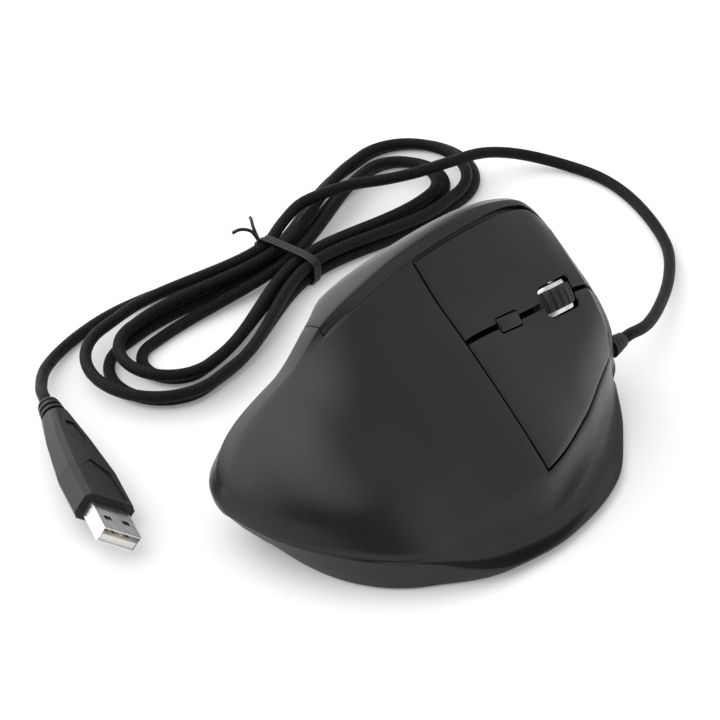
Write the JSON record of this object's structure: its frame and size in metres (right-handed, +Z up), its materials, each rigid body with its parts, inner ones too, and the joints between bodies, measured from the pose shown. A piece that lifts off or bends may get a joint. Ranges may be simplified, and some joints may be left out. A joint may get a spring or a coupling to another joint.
{
  "type": "vertical mouse",
  "caption": "Right-handed vertical computer mouse with a steep finger face, hinged buttons, scroll wheel, thumb buttons, optical sensor and a tied cord with a plug.",
  "frame": {"origin": "on the desk, under the middle of the mouse body's box, cord left out", "axes": "+Y forward, the way the fingers point and the cord leaves; +X to the little finger's side; +Z up"},
  "size_m": [0.1648, 0.2319, 0.0659],
  "materials": {
    "shell_black": "soft satin moulding",
    "cover_gloss": "smooth satin gloss moulding",
    "base_grey": "fine matt moulding",
    "tyre_rubber": "ribbed soft rubber",
    "rim_chrome": "bright plated ring",
    "inner_plastic": "plain moulding",
    "pin_steel": "drawn steel",
    "circuit_board": "solder mask",
    "plunger_white": "smooth moulding",
    "stem_red": "smooth moulding",
    "lens_clear": "clear moulding",
    "lamp_red": "clear tinted moulding",
    "cord_sleeve": "smooth sleeve",
    "cord_braid": "tight woven braid",
    "cord_rubber": "soft moulding",
    "ribbon_grey": "flat ribbon",
    "glide_slick": "slick pads",
    "plug_black": "satin moulding",
    "plug_steel": "plated sheet",
    "contact_gold": "plated strips"
  },
  "bodies": {
    "body": {"upper_shell": "shell_black", "nose_cover": "shell_black", "thumb_cover": "cover_gloss", "base_shell": "base_grey", "wheel_bracket": "inner_plastic", "wheel_sensor": "inner_plastic", "button_board": "circuit_board", "board_stand": "inner_plastic", "left_switch": "inner_plastic", "right_switch": "inner_plastic", "wheel_switch": "inner_plastic", "dpi_switch": "inner_plastic", "thumb_board": "circuit_board", "forward_switch": "inner_plastic", "back_switch": "inner_plastic", "base_board": "circuit_board", "motion_sensor": "inner_plastic", "sensor_lens": "lens_clear", "light_source": "lamp_red", "controller_chip": "inner_plastic", "cable_socket": "plunger_white", "inner_cable": "cord_sleeve", "board_ribbon": "ribbon_grey", "thumb_ribbon": "ribbon_grey", "board_screws": "pin_steel", "glide_feet": "glide_slick", "strain_relief": "cord_rubber", "cord_lead": "cord_braid", "cord_hank": "cord_braid", "cord_tail": "cord_braid", "twist_tie": "cord_rubber", "plug_grip": "plug_black", "plug_shell": "plug_steel", "plug_tongue": "plunger_white", "plug_contacts": "contact_gold"},
    "left_button": {"left_button": "shell_black"},
    "right_button": {"right_button": "shell_black"},
    "dpi_button": {"dpi_button": "shell_black"},
    "forward_button": {"forward_button": "cover_gloss"},
    "back_button": {"back_button": "cover_gloss"},
    "left_plunger": {"left_plunger": "plunger_white"},
    "right_plunger": {"right_plunger": "plunger_white"},
    "wheel_stem": {"wheel_stem": "stem_red"},
    "dpi_stem": {"dpi_stem": "stem_red"},
    "forward_stem": {"forward_stem": "stem_red"},
    "back_stem": {"back_stem": "stem_red"},
    "axle": {"wheel_axle": "pin_steel"},
    "wheel": {"wheel_tyre": "tyre_rubber", "wheel_hub": "inner_plastic", "wheel_rims": "rim_chrome"}
  },
  "joints": [
    {"name": "left_press", "type": "hinge", "parent": "body", "child": "left_button", "pos_m": [-0.01077, 0.0052, 0.05326], "axis": [-0.7373, 0, 0.6755], "range_deg": [0, 0.7], "stiffness_Nm_per_rad": 1.2},
    {"name": "right_press", "type": "hinge", "parent": "body", "child": "right_button", "pos_m": [0.01418, 0.0052, 0.03188], "axis": [-0.7364, 0, 0.6765], "range_deg": [0, 0.7], "stiffness_Nm_per_rad": 1.2},
    {"name": "dpi_press", "type": "slide", "parent": "body", "child": "dpi_button", "axis": [-0.7574, -0.0741, -0.6488], "range_m": [0, 0.0004], "stiffness_N_per_m": 3000},
    {"name": "forward_press", "type": "slide", "parent": "body", "child": "forward_button", "axis": [1, 0, 0], "range_m": [0, 0.0005], "stiffness_N_per_m": 3000},
    {"name": "back_press", "type": "slide", "parent": "body", "child": "back_button", "axis": [1, 0, 0], "range_m": [0, 0.0005], "stiffness_N_per_m": 3000},
    {"name": "wheel_press", "type": "slide", "parent": "body", "child": "axle", "axis": [-0.7574, -0.0741, -0.6488], "range_m": [0, 0.0004], "stiffness_N_per_m": 3000},
    {"name": "wheel_spin", "type": "hinge", "parent": "axle", "child": "wheel", "pos_m": [-0.00547, 0.04153, 0.03588], "axis": [0.653, -0.0912, -0.7518], "continuous": true},
    {"name": "left_plunge", "type": "slide", "parent": "body", "child": "left_plunger", "axis": [-0.7574, -0.0741, -0.6488], "range_m": [0, 0.0005]},
    {"name": "right_plunge", "type": "slide", "parent": "body", "child": "right_plunger", "axis": [-0.7574, -0.0741, -0.6488], "range_m": [0, 0.0005]},
    {"name": "wheel_click", "type": "slide", "parent": "body", "child": "wheel_stem", "axis": [-0.7574, -0.0741, -0.6488], "range_m": [0, 0.0004]},
    {"name": "dpi_click", "type": "slide", "parent": "body", "child": "dpi_stem", "axis": [-0.7574, -0.0741, -0.6488], "range_m": [0, 0.0004]},
    {"name": "forward_click", "type": "slide", "parent": "body", "child": "forward_stem", "axis": [1, 0, 0], "range_m": [0, 0.0005]},
    {"name": "back_click", "type": "slide", "parent": "body", "child": "back_stem", "axis": [1, 0, 0], "range_m": [0, 0.0005]}
  ],
  "couplings": [
    {"joint": "left_plunge", "follows": "left_press", "m_per_rad": 0.025568},
    {"joint": "right_plunge", "follows": "right_press", "m_per_rad": 0.023294},
    {"joint": "wheel_click", "follows": "wheel_press", "ratio": 1},
    {"joint": "dpi_click", "follows": "dpi_press", "ratio": 1},
    {"joint": "forward_click", "follows": "forward_press", "ratio": 1},
    {"joint": "back_click", "follows": "back_press", "ratio": 1}
  ]
}
